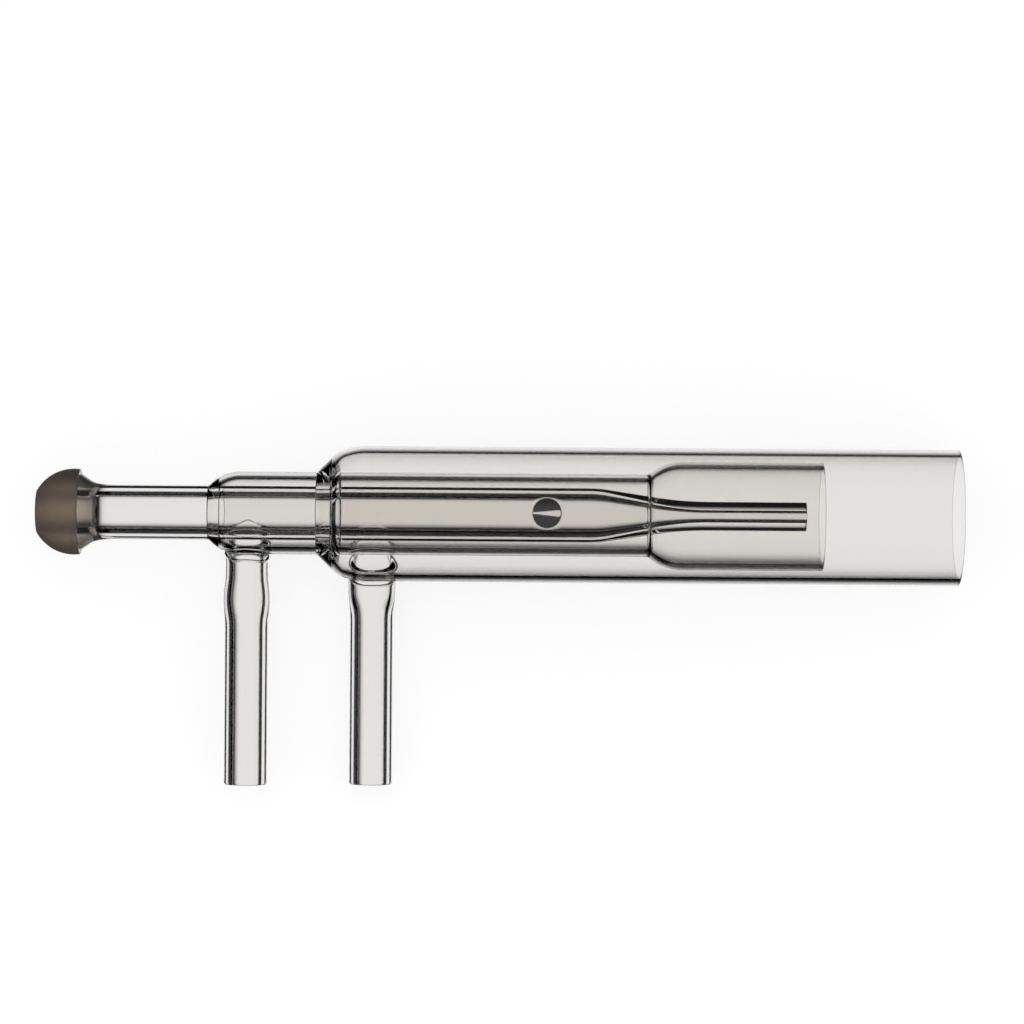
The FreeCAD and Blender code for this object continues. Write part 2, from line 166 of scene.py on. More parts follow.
def base_height(place, radius):
    """Height of the tube: a quarter circle that ends where the base does, and level beyond it."""
    return np.sqrt(radius**2 - np.minimum(place - BASE_END, 0)**2)


# The first inlet's place along the torch, and the stretch of outside and bore that its root takes.
FIRST_PLACE, FIRST_SPAN, FIRST_BORE_SPAN, FIRST_CELLS = 30.86, (26.4, 35.4), (27.7, 34.3), 30
first_window = np.linspace(*FIRST_SPAN, FIRST_CELLS + 1)
first_bore_window = np.linspace(*FIRST_BORE_SPAN, FIRST_CELLS + 1)
first_way = math.degrees(math.acos((FIRST_SPAN[0] - BASE_END) / TUBE))
first_bore_way = math.degrees(math.acos((FIRST_BORE_SPAN[0] - BASE_END) / TUBE_BORE))
base_fillet, base_way = onto_ball(TUBE, STEM, BASE_WELD, BASE_END, 1)
base_skin = outline(
    arc(base_fillet, BASE_WELD, 270, 180 + base_way),
    arc((BASE_END, 0), TUBE, base_way, first_way, BALL_TURN),
    np.stack([first_window, base_height(first_window, TUBE)], axis=1),
)
gas_fillet, gas_way = onto_ball(TUBE_BORE, STEM, BASE_GAS, BASE_END, -1)
gas_skin = outline(
    np.stack([first_bore_window[::-1], base_height(first_bore_window[::-1], TUBE_BORE)], axis=1),
    arc((BASE_END, 0), TUBE_BORE, first_bore_way, gas_way),
    arc(gas_fillet, BASE_GAS, gas_way, 270, GAS_TURN),
    line((gas_fillet[0], STEM), (TAPER_START, STEM)),
)
flare_fillet, flare_way = onto_ball(TULIP, TUBE, FLARE_WELD, TULIP_FULL, 1)
flare_skin = outline(
    arc(flare_fillet, FLARE_WELD, 270, 180 + flare_way),
    arc((TULIP_FULL, 0), TULIP, flare_way, 90, BALL_TURN),
    line((TULIP_FULL, TULIP), (TULIP_END - CUT, TULIP)),
    bevel((TULIP_END, TULIP), 0, -90, CUT),
    bevel((TULIP_END, TULIP_BORE), -90, 180, CUT),
    line((TULIP_END - CUT, TULIP_BORE), (TULIP_FULL, TULIP_BORE)),
)
seam_centre = (SEAM_PLACE, TUBE_BORE - SEAM_HEIGHT + SEAM)
seam_side = math.degrees(math.asin((SEAM - SEAM_HEIGHT) / SEAM))
seam_step, seam_foot = SEAM_PLACE + SEAM_STEP * SEAM, SEAM_PLACE - SEAM_FOOT * SEAM
seam_fillet = SEAM_FILLET * SEAM
seam_far = (seam_step, math.sqrt(TULIP_BORE**2 - (seam_step - TULIP_FULL)**2))
seam_way = math.degrees(math.atan2(seam_far[1], seam_far[0] - TULIP_FULL))
seam_skin = outline(
    arc((TULIP_FULL, 0), TULIP_BORE, 90, seam_way, BALL_TURN),
    arc(seam_centre, SEAM, -SEAM_FAR, -180 + seam_side + SEAM_NEAR, SEAM_TURN),
    arc((seam_foot, TUBE_BORE - seam_fillet), seam_fillet, SEAM_NEAR, 90, GAS_TURN),
)

# The outer tube: 20 mm outside and 18 mm bore. Its shoulder is closed down in two curves onto the
# intermediate tube and fused there. The mouth is cut square.
OUTER, OUTER_BORE, OUTER_FULL, MOUTH_END = 10.0, 9.0, 48.6, 136.04
SHORT, SHORT_SLOPE, LONG_SLOPE = 4.0, 45.0, 20.0
OUTER_WELD, OUTER_GAS, OUTER_GAS_TURN = 0.25, 0.8, 14.0
# The second inlet's place and the stretches that its root takes, and the same for the spacer.
SECOND_PLACE, SECOND_SPAN, SECOND_BORE_SPAN, SECOND_CELLS = 49.31, (44.5, 54.7), (45.5, 53.1), 34
BEAD_PLACE, BEAD_REACH, BEAD_CELLS = 75.2, 2.9, 20
short_centre = (OUTER_FULL - (OUTER - SHORT) * math.sin(deg(LONG_SLOPE)),
                (OUTER - SHORT) * math.cos(deg(LONG_SLOPE)))


def shoulder_height(place, radius):
    """Height of the shoulder: a short circle, a long one from where they touch, and level beyond."""
    short = SHORT - (OUTER - radius)
    meeting = OUTER_FULL - radius * math.sin(deg(LONG_SLOPE))
    long_curve = np.sqrt(radius**2 - np.minimum(place - OUTER_FULL, 0)**2)
    short_curve = short_centre[1] + np.sqrt(np.maximum(short**2 - (place - short_centre[0])**2, 0))
    return np.where(place > meeting, long_curve, short_curve)


def shoulder_foot(radius, fillet):
    """Where the shoulder's slope ends, where it would meet the intermediate tube, and how far from
    there a fillet of this radius starts on the outside."""
    short = SHORT - (OUTER - radius)
    slope = deg(SHORT_SLOPE)
    end = (short_centre[0] - short * math.sin(slope), short_centre[1] + short * math.cos(slope))
    corner = end[0] - (end[1] - TUBE) / math.tan(slope)
    return end, corner, fillet * math.tan(slope / 2)


def shoulder_way(place, radius):
    """Angle at which the shoulder's short curve, of this radius, goes through this place."""
    return math.degrees(math.acos((place - short_centre[0]) / radius))


second_window = np.linspace(*SECOND_SPAN, SECOND_CELLS + 1)
second_bore_window = np.linspace(*SECOND_BORE_SPAN, SECOND_CELLS + 1)
bead_window = np.linspace(BEAD_PLACE - BEAD_REACH, BEAD_PLACE + BEAD_REACH, BEAD_CELLS + 1)
slope_end, slope_corner, weld_run = shoulder_foot(OUTER, OUTER_WELD)
outer_skin = outline(
    line((first_window[-1], TUBE), (slope_corner - weld_run, TUBE)),
    arc((slope_corner - weld_run, TUBE + OUTER_WELD), OUTER_WELD, 270, 270 + SHORT_SLOPE),
    line((slope_corner + weld_run * math.cos(deg(SHORT_SLOPE)),
          TUBE + weld_run * math.sin(deg(SHORT_SLOPE))), slope_end),
    arc(short_centre, SHORT, 90 + SHORT_SLOPE, shoulder_way(SECOND_SPAN[0], SHORT), BALL_TURN),
    np.stack([second_window, shoulder_height(second_window, OUTER)], axis=1),
    line((second_window[-1], OUTER), (MOUTH_END - CUT, OUTER)),
    bevel((MOUTH_END, OUTER), 0, -90, CUT),
    bevel((MOUTH_END, OUTER_BORE), -90, 180, CUT),
    line((MOUTH_END - CUT, OUTER_BORE), (bead_window[-1], OUTER_BORE)),
)
inner_end, inner_corner, _ = shoulder_foot(OUTER_BORE, OUTER_GAS)
gas_run = OUTER_GAS / math.tan(deg(SHORT_SLOPE / 2))
short_inside = SHORT - (OUTER - OUTER_BORE)
lining_skin = outline(
    np.stack([bead_window[::-1], np.full(bead_window.size, OUTER_BORE)], axis=1),
    line((bead_window[0], OUTER_BORE), (second_bore_window[-1], OUTER_BORE)),
    np.stack([second_bore_window[::-1], shoulder_height(second_bore_window[::-1], OUTER_BORE)], axis=1),
    arc(short_centre, short_inside, shoulder_way(SECOND_BORE_SPAN[0], short_inside),
        90 + SHORT_SLOPE, BALL_TURN),
    line(inner_end, (inner_corner + gas_run * math.cos(deg(SHORT_SLOPE)),
                     TUBE + gas_run * math.sin(deg(SHORT_SLOPE)))),
    arc((inner_corner + gas_run, TUBE + OUTER_GAS), OUTER_GAS, 90 + SHORT_SLOPE, 270, OUTER_GAS_TURN),
    line((inner_corner + gas_run, TUBE), (flare_fillet[0], TUBE)),
)

# The three fused tubes are one solid of revolution: the outlines above, joined end to end, are its
# half section, with the quartz on their right. The last point is the first again and is left out.
AROUND, FOOT_STEP, FOOT_ROUNDS = 192, 0.01, 12
section = outline(
    ball_skin,
    line((NECK_END, STEM), (base_fillet[0], STEM)),
    base_skin,
    outer_skin,
    lining_skin,
    flare_skin,
    seam_skin,
    line((seam_foot, TUBE_BORE), (first_bore_window[-1], TUBE_BORE)),
    gas_skin,
    injector_skin,
)[:-1]


def spun(points, angle):
    """Points of the half section turned about the torch axis; angle 0 looks along -Y, a quarter +Z."""
    place, height = points[..., 0], points[..., 1]
    return np.stack([place + 0 * angle, -height * np.cos(angle), height * np.sin(angle)], axis=-1)


angles = np.arange(AROUND) * 2 * np.pi / AROUND
corners = spun(section[:, None, :], angles[None, :])
numbers = np.arange(corners.shape[0] * AROUND).reshape(corners.shape[0], AROUND)
here, there = numbers, np.roll(numbers, -1, axis=0)
quads = np.stack([here, there, np.roll(there, -1, axis=1), np.roll(here, -1, axis=1)], axis=-1)
kept = np.ones(quads.shape[:2], bool)
vertices = [corners.reshape(-1, 3)]
faces = []


def row_of(place, height):
    """Row of the section that goes through this point."""
    return int(np.argmin(np.hypot(section[:, 0] - place, section[:, 1] - height)))


def window(places, height, middle, half, tilt=0.0):
    """Opens a rectangle of the spun surface and gives the rim of it.

    It spans these places along the axis, and half columns to each side of the middle one. The rim
    goes round from the corner at the low place and low column, along the axis first: its vertex
    numbers, their places along the axis and their angles from the tilt.
    """
    ends = row_of(places[0], height(places[0])), row_of(places[-1], height(places[-1]))
    rows = np.arange(ends[0], ends[1] + 1) if ends[1] > ends[0] else np.arange(ends[0], ends[1] - 1, -1)
    columns = np.arange(middle - half, middle + half + 1)
    kept[np.ix_(np.arange(min(ends), max(ends)), columns[:-1] % AROUND)] = False
    row_cells, column_cells = rows.size - 1, columns.size - 1
    rim_row = np.concatenate([
        rows[:-1], np.repeat(rows[-1], column_cells), rows[:0:-1], np.repeat(rows[0], column_cells)])
    rim_column = np.concatenate([
        np.repeat(columns[0], row_cells), columns[:-1],
        np.repeat(columns[-1], row_cells), columns[:0:-1]])
    turn = rim_column * 2 * np.pi / AROUND - tilt
    return numbers[rim_row, rim_column % AROUND], section[rim_row, 0], turn


def way_round(row_cells, column_cells):
    """Angle about a branch for each vertex of a rim: each side of the rim takes a quarter turn."""
    cells = [row_cells, column_cells, row_cells, column_cells]
    quarters = np.concatenate([side + np.arange(count) / count for side, count in enumerate(cells)])
    return np.radians(90 * quarters - 135)


def foot(height, place, aside, radius, fillet, angle, rows, up=1):
    """Fillet where a round branch stands on the spun surface, or hangs from it where up is -1.

    In each half plane through the branch's axis, at this angle about it, the surface is a curve of
    depth over distance from that axis. The fillet is the arc tangent to that curve and to the
    branch's side, as a rational Bezier curve. Gives distances and depths, a row at a time, from the
    surface to the branch.
    """
    def depth(distance):
        across = distance * np.sin(angle) + aside
        return np.sqrt(height(place + distance * np.cos(angle))**2 - across**2)

    start = np.full(angle.size, float(radius))
    for _ in range(FOOT_ROUNDS):
        slope = (depth(start + FOOT_STEP) - depth(start - FOOT_STEP)) / (2 * FOOT_STEP)
        length = np.sqrt(1 + slope**2)
        reach = fillet * (length + up * slope)
        start = radius + reach / length
    corner = depth(start) - slope * (start - radius)
    weight = np.sqrt((1 - up * slope / length) / 2)
    share = np.linspace(0, 1, rows)[:, None]
    first, middle, last = (1 - share)**2, 2 * share * (1 - share) * weight, share**2
    total = first + middle + last
    distance = (first * start + (middle + last) * radius) / total
    deep = (first * depth(start) + middle * corner + last * (corner + up * reach)) / total
    return distance, deep


def lead_in(rim, distance, deep, height, place, aside, tilt, angle, rows):
    """Rows of the spun surface from the rim of a window to the foot of a branch, spaced evenly in
    place and in angle."""
    end_place = place + distance * np.cos(angle)
    end_turn = np.arctan2(distance * np.sin(angle) + aside, deep)
    share = np.linspace(0, 1, rows + 2)[1:-1, None]
    at = rim[1] + (end_place - rim[1]) * share
    turn = rim[2] + (end_turn - rim[2]) * share
    return spun(np.stack([at, height(at)], axis=-1), turn + tilt)


def about_branch(distance, deep, place, aside, tilt, angle):
    """Points at this distance from a branch's axis and this depth along it, at each angle round it."""
    across = distance * np.sin(angle) + aside
    along = place + distance * np.cos(angle)
    toward = -deep * np.cos(tilt) + across * np.sin(tilt)
    return np.stack([along + 0 * toward, toward, deep * np.sin(tilt) + across * np.cos(tilt)], axis=-1)


def add_rows(rows):
    """Adds rows of points to the mesh and gives the vertex numbers of each row."""
    start = sum(len(part) for part in vertices)
    vertices.append(rows.reshape(-1, 3))
    return start + np.arange(rows.shape[0] * rows.shape[1]).reshape(rows.shape[:2])


def skin_over(rings):
    """Quads between closed rings of vertex numbers, each ring joined to the next."""
    rings = np.array(rings)
    here, there = rings[:-1], rings[1:]
    quad = np.stack([here, np.roll(here, -1, axis=1), np.roll(there, -1, axis=1), there], axis=-1)
    faces.append(quad.reshape(-1, 4))


# The two gas inlets: quarter inch tubes with a 4 mm bore, fused onto the side of their tube off the
# axis, so that the gas swirls. The first opens into the space round the injector and has a neck and
# a blown bulge, the second into the space round the intermediate tube. Their ends are fire-polished.
ARM, ARM_BORE, ARM_REACH, ARM_POLISH, HOLE_EDGE = 3.175, 2.0, 40.28, 0.35, 0.45
FIRST_ASIDE, SECOND_ASIDE, FIRST_WELD, SECOND_WELD = 2.8, 5.5, 0.8, 0.6
WELD_RING_HIGH, WELD_RING_WIDE = 0.22, 0.5
POLISH_TURN, SWAY_ROWS = 15.0, 9
WELD_ROWS, RING_ROWS, NECK_ROWS, HOLE_ROWS, LEAD_ROWS, HOLE_LEAD_ROWS = 9, 8, 3, 5, 4, 3
# Each root's middle column, away from the side as the inlet is, and half the columns that it takes.
FIRST_COLUMNS, SECOND_COLUMNS = (-16, 30), (-19, 22)
# Radius, and distance from the torch axis, where each inlet is narrow or wide, and so for its bore.
FIRST_SHAPE = [(3.1, 8.8), (3.4, 12.8), (ARM, 17.0)]
FIRST_BORE = [(2.1, 8.8), (2.4, 12.8), (ARM_BORE, 17.0)]
SECOND_SHAPE, SECOND_BORE = [(3.5, 11.1), (ARM, 15.8)], [(2.7, 11.1), (ARM_BORE, 15.8)]


def sway(stations):
    """Radius and distance along an inlet: smooth steps, each of two parabolas that meet halfway."""
    runs = []
    for (near, start), (far, end) in zip(stations, stations[1:]):
        share = np.linspace(0, 1, SWAY_ROWS)
        rise = np.where(share < 0.5, 2 * share**2, 1 - 2 * (1 - share)**2)
        runs.append(np.stack([near + (far - near) * rise, start + (end - start) * share], axis=1))
    return outline(*runs)


def inlet(place, aside, weld, skins, windows, columns, stations, bore_stations):
    """One inlet: from a window in the outer skin out to its end, and back down its bore.

    The weld's fillet ends in a fused ring, a low swelling whose height goes as the square of a sine.
    """
    heights = [lambda at, radius=radius, skin=skin: skin(at, radius) for skin, radius in skins]
    rim = window(windows[0], heights[0], *columns)
    bore_rim = window(windows[1], heights[1], *columns)
    angle = way_round(windows[0].size - 1, 2 * columns[1])
    where = place, -aside, 0, angle
    distance, deep = foot(heights[0], place, -aside, stations[0][0], weld, angle, WELD_ROWS)
    hole_distance, hole_deep = foot(
        heights[1], place, -aside, bore_stations[0][0], HOLE_EDGE, angle, HOLE_ROWS)
    share = np.linspace(0, 1, NECK_ROWS + 2)[1:-1, None]
    ring_share = np.linspace(0, 1, RING_ROWS + 1)[1:, None]
    ring_distance = stations[0][0] + WELD_RING_HIGH * np.sin(np.pi * ring_share)**2
    ring_deep = deep[-1] + WELD_RING_WIDE * ring_share
    neck = ring_deep[-1] + (stations[0][1] - ring_deep[-1]) * share
    root = bore_stations[0][1] + (hole_deep[-1] - bore_stations[0][1]) * share
    polish_start = ARM_REACH - ARM_POLISH
    tube = outline(
        sway(stations),
        line((ARM, stations[-1][1]), (ARM, polish_start)),
        arc((ARM - ARM_POLISH, polish_start), ARM_POLISH, 0, 90, POLISH_TURN),
        arc((ARM_BORE + ARM_POLISH, polish_start), ARM_POLISH, 90, 180, POLISH_TURN),
        line((ARM_BORE, polish_start), (ARM_BORE, bore_stations[-1][1])),
        sway(bore_stations)[::-1],
    )
    rows = np.concatenate([
        lead_in(rim, distance[0], deep[0], heights[0], *where, LEAD_ROWS),
        about_branch(distance, deep, *where),
        about_branch(ring_distance, ring_deep, *where),
        about_branch(np.full(neck.shape, stations[0][0]), neck, *where),
        about_branch(tube[:, :1], tube[:, 1:], *where),
        about_branch(np.full(root.shape, bore_stations[0][0]), root, *where),
        about_branch(hole_distance[::-1], hole_deep[::-1], *where),
        lead_in(bore_rim, hole_distance[0], hole_deep[0], heights[1], *where, HOLE_LEAD_ROWS)[::-1],
    ])
    skin_over([rim[0], *add_rows(rows), bore_rim[0]])


inlet(FIRST_PLACE, FIRST_ASIDE, FIRST_WELD, [(base_height, TUBE), (base_height, TUBE_BORE)],
      (first_window, first_bore_window), FIRST_COLUMNS, FIRST_SHAPE, FIRST_BORE)
inlet(SECOND_PLACE, SECOND_ASIDE, SECOND_WELD,
      [(shoulder_height, OUTER), (shoulder_height, OUTER_BORE)],
      (second_window, second_bore_window), SECOND_COLUMNS, SECOND_SHAPE, SECOND_BORE)

# The spacer: a dab of quartz melted onto the bore of the outer tube, on the side that faces up. Its
# end was pinched into a ridge along the torch, just clear of the intermediate tube, which it keeps
# from leaning. The ridge is sharper towards the ball than towards the mouth.
BEAD, BEAD_ASIDE, BEAD_GAP, BEAD_EDGE, BEAD_WELD = 2.05, 0.27, 0.2, 0.12, 0.12
RIDGE_SLOPE, RIDGE_SHARP, RIDGE_BLUNT, RIDGE_SPREAD = 45.0, 0.3, 1.0, 3.2
BEAD_TILT, BEAD_COLUMNS = math.pi / 2, 11
BEAD_MIDDLE, END_ROWS, EDGE_ROWS, BEAD_WELD_ROWS, BEAD_LEAD_ROWS = 0.08, 22, 9, 5, 2


def bore_side(at):
    """Height of the outer tube's straight bore."""
    return np.full(np.shape(at), OUTER_BORE)


def lid(ring):
    """Quads across a closed ring of vertex numbers, laid side by side from one end to the other."""
    low, high = ring[:ring.size // 2], ring[:ring.size // 2 - 1:-1]
    faces.append(np.stack([low[:-1], high[:-1], high[1:], low[1:]], axis=-1))


bead_rim = window(bead_window, bore_side, AROUND // 4, BEAD_COLUMNS, BEAD_TILT)
bead_angle = way_round(BEAD_CELLS, 2 * BEAD_COLUMNS)
bead_where = BEAD_PLACE, BEAD_ASIDE, BEAD_TILT, bead_angle
top, top_deep = foot(bore_side, BEAD_PLACE, BEAD_ASIDE, BEAD, BEAD_WELD, bead_angle, BEAD_WELD_ROWS, -1)
edge_way = np.linspace(0, np.pi / 2, EDGE_ROWS + 1)[1:]
end_distance = np.concatenate([
    np.linspace(BEAD_MIDDLE, BEAD - BEAD_EDGE, END_ROWS),
    BEAD - BEAD_EDGE * (1 - np.sin(edge_way))])[:, None]
# The end falls away from its ridge: first round, then as a slope to each side, with a rounded edge.
end_across = np.abs(end_distance * np.sin(bead_angle))
bluntness = np.clip(0.5 + end_distance * np.cos(bead_angle) / RIDGE_SPREAD, 0, 1)
ridge = RIDGE_SHARP + (RIDGE_BLUNT - RIDGE_SHARP) * bluntness
slope_start = ridge * math.sin(deg(RIDGE_SLOPE))
round_part = ridge - np.sqrt(ridge**2 - np.minimum(end_across, slope_start)**2)
slope_part = np.maximum(end_across - slope_start, 0) * math.tan(deg(RIDGE_SLOPE))
past = np.maximum(end_distance - (BEAD - BEAD_EDGE), 0)
edge_part = BEAD_EDGE - np.sqrt(np.maximum(BEAD_EDGE**2 - past**2, 0))
dome = end_distance, TUBE + BEAD_GAP + round_part + slope_part + edge_part
side_share = np.array([0.33, 0.67])[:, None]
side = dome[1][-1] + (top_deep[-1] - dome[1][-1]) * side_share
bead_rings = add_rows(np.concatenate([
    about_branch(*dome, *bead_where),
    about_branch(np.full(side.shape, BEAD), side, *bead_where),
    about_branch(top[::-1], top_deep[::-1], *bead_where),
    lead_in(bead_rim, top[0], top_deep[0], bore_side, *bead_where, BEAD_LEAD_ROWS)[::-1],
]))
skin_over([*bead_rings, bead_rim[0]])
lid(bead_rings[0])

# The whole torch is one piece of quartz. It lies rolled a little about its axis, so that it rests
# on its outer tube and on the tip of the second inlet.
MM, ROLL = 0.001, 1.9063
points = np.concatenate(vertices)
roll = math.radians(ROLL)
turned = np.stack([
    points[:, 0],
    points[:, 1] * math.cos(roll) - points[:, 2] * math.sin(roll),
    points[:, 1] * math.sin(roll) + points[:, 2] * math.cos(roll),
], axis=1) * MM
polygons = np.concatenate([quads[kept], *faces])
used, polygons = np.unique(polygons, return_inverse=True)
polygons = polygons.reshape(-1, 4)
torch_mesh = bpy.data.meshes.new("torch")
torch_mesh.from_pydata(turned[used], [], polygons)
torch_mesh.shade_smooth()
torch = bpy.data.objects.new("torch", torch_mesh)
bpy.context.scene.collection.objects.link(torch)
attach(torch, "root")
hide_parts("torch_body")


class Flow:
    """What comes out of one socket of a node tree. Sums, products and comparisons of flows add the
    Math nodes that work them out."""

    def __init__(self, tree, socket=None):
        self.tree, self.socket = tree, socket

    def node(self, kind, settings, inputs):
        """Adds one node with its settings, then its inputs, each a value or another flow."""
        made = self.tree.nodes.new(kind)
        for name, value in settings.items():
            setattr(made, name, value)
        for name, value in inputs.items():
            if isinstance(value, Flow):
                self.tree.links.new(value.socket, made.inputs[name])
            else:
                made.inputs[name].default_value = value
        return made

    def out(self, made, name=0):
        """One output of a node, as a flow."""
        return Flow(self.tree, made.outputs[name])

    def maths(self, operation, *values):
        """One Math node."""
        return self.out(self.node("ShaderNodeMath", {"operation": operation}, dict(enumerate(values))))

    def __add__(self, other):
        return self.maths("ADD", self, other)

    __radd__ = __add__

    def __mul__(self, other):
        return self.maths("MULTIPLY", self, other)

    __rmul__ = __mul__

    def __sub__(self, other):
        return self.maths("SUBTRACT", self, other)

    def __rsub__(self, other):
        return self.maths("SUBTRACT", other, self)

    def __truediv__(self, other):
        return self.maths("DIVIDE", self, other)

    def __lt__(self, other):
        return self.maths("LESS_THAN", self, other)

    def __gt__(self, other):
        return self.maths("GREATER_THAN", self, other)

    def ramp(self, low, high):
        """Smooth rise from 0 at low to 1 at high."""
        return self.out(self.node("ShaderNodeMapRange", {"interpolation_type": "SMOOTHSTEP"},
                                  {"Value": self, "From Min": low, "From Max": high}))


# The quartz: clear and fire-polished, with the faint warm tint that it has where several walls lie
# one behind the other. Light that only casts a shadow passes it, nearly whole.
QUARTZ_INDEX, QUARTZ_COLOUR, SHADOW_COLOUR = 1.458, (0.995, 0.984, 0.97, 1), (0.96, 0.96, 0.96, 1)


def quartz_material(name, settings):
    """Clear glass, which lets shadow rays through. settings is a function that takes the material's
    flow and gives the shader's inputs."""
    made = bpy.data.materials.new(name)
    made.use_nodes = True
    made.node_tree.nodes.clear()
    flow = Flow(made.node_tree)
    body = flow.out(flow.node("ShaderNodeBsdfPrincipled", {}, {
        "IOR": QUARTZ_INDEX, "Transmission Weight": 1.0, **settings(flow)}))
    shadow = flow.out(flow.node("ShaderNodeLightPath", {}, {}), "Is Shadow Ray")
    clear = flow.out(flow.node("ShaderNodeBsdfTransparent", {}, {"Color": SHADOW_COLOUR}))
    mixed = flow.out(flow.node("ShaderNodeMixShader", {}, {0: shadow, 1: body, 2: clear}))
    flow.node("ShaderNodeOutputMaterial", {}, {"Surface": mixed})
    return made


torch_mesh.materials.append(quartz_material("quartz", lambda flow: {
    "Base Color": QUARTZ_COLOUR, "Roughness": 0.0}))

# The ball is ground with fine grit from its mouth to its shoulder, to seal in its socket, so it is
# frosted. Its dark grey brown base colour is painted shade: the quartz itself is clear, and the colour
# stands in for the light that the frosted surface scatters away.
# The ground colour is painted shade. It is the dark look of frosted quartz against the light, put into
# its colour.
GROUND_PAINTED_SHADE, GROUND_DULL, GRIT_DULL = (0.27, 0.205, 0.155, 1), 0.5, 0.16
GRIT_SIZE, GRIT_DETAIL, GRIT_ROUGH, GRIT_STRENGTH, GRIT_DEPTH = 9000.0, 3.0, 0.6, 0.25, 0.00002
GROUND_INSET = 0.35


def frosting_and_painted_shade(flow):
    """Fine grit: uneven noise that dents the surface and dulls it by turns. The dark grey brown Base
    Color given with it is painted shade.
    """
    place = flow.out(flow.node("ShaderNodeTexCoord", {}, {}), "Object")
    grit = flow.out(flow.node("ShaderNodeTexNoise", {"noise_dimensions": "3D"}, {
        "Vector": place, "Scale": GRIT_SIZE, "Detail": GRIT_DETAIL, "Roughness": GRIT_ROUGH}), "Fac")
    dents = flow.out(flow.node("ShaderNodeBump", {}, {
        "Strength": GRIT_STRENGTH, "Distance": GRIT_DEPTH, "Height": grit}))
    return {"Base Color": GROUND_PAINTED_SHADE, "Roughness": GROUND_DULL + grit * GRIT_DULL, "Normal": dents}


# The second material carries the ground ball's painted shade in its Base Color, along with the real
# frosting.
torch_mesh.materials.append(quartz_material("ground_quartz_painted_shade", frosting_and_painted_shade))
centres = turned[used][polygons].mean(axis=1) / MM
from_axis = np.hypot(centres[:, 1], centres[:, 2])
on_ball = (centres[:, 0] < GROUND_END) & (from_axis > BALL_MOUTH - GROUND_INSET)
torch_mesh.polygons.foreach_set("material_index", on_ball.astype(np.int32))

# The bench: a plain pale surface under the torch. The camera sees it nearly white, with the
# torch's faint shadow, and the light that comes up through the quartz passes it.
FLOOR, FLOOR_SIZE, FLOOR_COLOUR, FLOOR_GLOW = -0.01, 3.0, (0.35, 0.35, 0.35, 1), 0.8
WHITE = (1, 1, 1, 1)
floor_corners = np.array([(-1, -1), (1, -1), (1, 1), (-1, 1)]) * FLOOR_SIZE
floor_mesh = bpy.data.meshes.new("bench")
floor_mesh.from_pydata(np.column_stack([floor_corners, np.full(4, FLOOR)]), [], [(0, 1, 2, 3)])
bench = bpy.data.objects.new("bench", floor_mesh)
bpy.context.scene.collection.objects.link(bench)
pale = bpy.data.materials.new("pale_bench")
pale.use_nodes = True
pale.node_tree.nodes.clear()
under = Flow(pale.node_tree)
rays = under.node("ShaderNodeLightPath", {}, {})
seen = under.out(rays, "Is Camera Ray")
through = under.out(rays, "Is Transmission Ray") + under.out(rays, "Is Glossy Ray")
matt = under.out(under.node("ShaderNodeBsdfDiffuse", {}, {"Color": FLOOR_COLOUR}))
glow = under.out(under.node("ShaderNodeEmission", {}, {
    "Color": WHITE, "Strength": seen * FLOOR_GLOW}))
both = under.out(under.node("ShaderNodeAddShader", {}, {0: matt, 1: glow}))
gone = under.out(under.node("ShaderNodeBsdfTransparent", {}, {}))
surface = under.out(under.node("ShaderNodeMixShader", {}, {0: through, 1: both, 2: gone}))
under.node("ShaderNodeOutputMaterial", {}, {"Surface": surface})
floor_mesh.materials.append(pale)

# The light: a soft-edged light box below the torch, with dark round it, so that each edge of the
# clear quartz shows as a dark line, and a dim ceiling. For the views from the side a pale wall stands
# round the bench. Rays not yet reflected see it, and endways also rays reflected more than once.
BOX_LEFT, BOX_RIGHT, BOX_LOW, BOX_HIGH = (math.tan(deg(side)) for side in (-20, 32, -19, 29))
BOX_SOFT, BOX_LIGHT, BOX_AHEAD = 0.2, 0.89, 0.01
WALL_PLACE, WALL_LOWER, WALL_HALF, WALL_SOFT, WALL_LIGHT = 0.02, 0.34, 0.40, 0.8, 0.9
ENDWAYS, UNREFLECTED, REPEATED = 0.55, 0.5, 1.5
CEILING_FROM, CEILING_TO, CEILING, PLAIN_LIGHT = 0.3, 0.9, 0.05, 0.62
AHEAD_LEAST, FLAT_LEAST = 0.001, 0.01
world = bpy.data.worlds.new("light_box")
bpy.context.scene.world = world
world.use_nodes = True
world.node_tree.nodes.clear()
sky = Flow(world.node_tree)
way = sky.out(sky.node("ShaderNodeTexCoord", {}, {}), "Generated")
parts = sky.node("ShaderNodeSeparateXYZ", {}, {"Vector": way})
east, north, rise = (sky.out(parts, axis) for axis in "XYZ")
ahead = north * math.sin(roll) - rise * math.cos(roll)
upward = north * math.cos(roll) + rise * math.sin(roll)
ahead_safe = ahead.maths("MAXIMUM", ahead, AHEAD_LEAST)
right, high = east / ahead_safe, upward / ahead_safe
box = (right.ramp(BOX_LEFT - BOX_SOFT, BOX_LEFT + BOX_SOFT)
       * (1 - right.ramp(BOX_RIGHT - BOX_SOFT, BOX_RIGHT + BOX_SOFT))
       * high.ramp(BOX_LOW - BOX_SOFT, BOX_LOW + BOX_SOFT)
       * (1 - high.ramp(BOX_HIGH - BOX_SOFT, BOX_HIGH + BOX_SOFT))
       * (ahead > BOX_AHEAD) * BOX_LIGHT)
level = 1 - rise * rise
flat = level.maths("MAXIMUM", level, FLAT_LEAST)
lean = (north - east) * (north - east) / flat - 1
lean = lean.maths("MAXIMUM", lean, 0.0)
above_wall = rise + WALL_PLACE + lean * WALL_LOWER
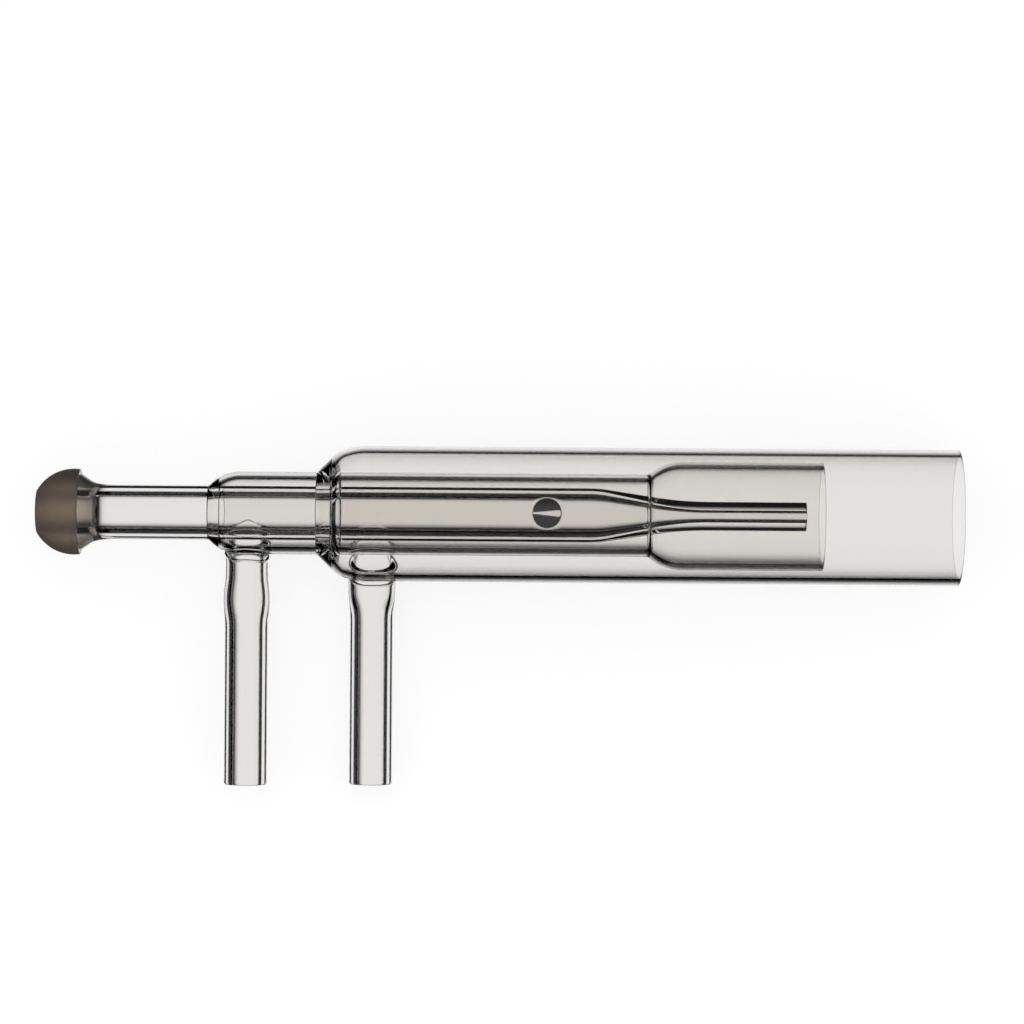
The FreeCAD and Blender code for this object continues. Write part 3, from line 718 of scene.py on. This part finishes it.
wall = 1 - above_wall.maths("ABSOLUTE", above_wall).ramp(WALL_HALF * WALL_SOFT, WALL_HALF)
light_rays = sky.node("ShaderNodeLightPath", {}, {})
reflections = sky.out(light_rays, "Glossy Depth")
endways = east.maths("ABSOLUTE", east).ramp(ENDWAYS, ENDWAYS + BOX_SOFT) * (reflections > REPEATED)
wall = wall * endways.maths("MAXIMUM", endways, reflections < UNREFLECTED) * WALL_LIGHT
camera_ray = sky.out(light_rays, "Is Camera Ray")
glass_ray = sky.out(light_rays, "Is Transmission Ray") + sky.out(light_rays, "Is Glossy Ray")
glass_ray = glass_ray.maths("MINIMUM", glass_ray, 1.0)
pattern = box.maths("MAXIMUM", box, wall) + rise.ramp(CEILING_FROM, CEILING_TO) * CEILING
strength = camera_ray + (1 - camera_ray) * (glass_ray * pattern + (1 - glass_ray) * PLAIN_LIGHT)
sky.node("ShaderNodeOutputWorld", {}, {"Surface": sky.out(sky.node(
    "ShaderNodeBackground", {}, {"Color": WHITE, "Strength": strength}))})

# The camera looks square onto the plane of the two inlets, from 0.62 m, turned slightly so that
# the mouth lies a little lower than the ball.
VIEW_ANGLE, VIEW_TURN, VIEW_FAR, VIEW_END = 13.9, 0.42, 0.62, 20.0
AIM_ALONG, AIM_ABOVE = 0.0701, 0.00041
toward = Vector((0, -math.sin(roll), math.cos(roll)))
above = Vector((0, math.cos(roll), math.sin(roll)))
east_way = Vector((1, 0, 0))
turn = deg(VIEW_TURN)
view_up = above * math.cos(turn) - east_way * math.sin(turn)
view_right = east_way * math.cos(turn) + above * math.sin(turn)
aim = Vector((AIM_ALONG, 0, 0)) + above * AIM_ABOVE
camera_data = bpy.data.cameras.new("view")
camera_data.angle = deg(VIEW_ANGLE)
camera_data.clip_end = VIEW_END
camera = bpy.data.objects.new("view", camera_data)
camera.matrix_world = Matrix.Translation(aim + toward * VIEW_FAR) @ Matrix(
    (view_right, view_up, toward)).transposed().to_4x4()
bpy.context.scene.collection.objects.link(camera)
bpy.context.scene.camera = camera
bpy.context.scene.view_settings.view_transform = "Standard"
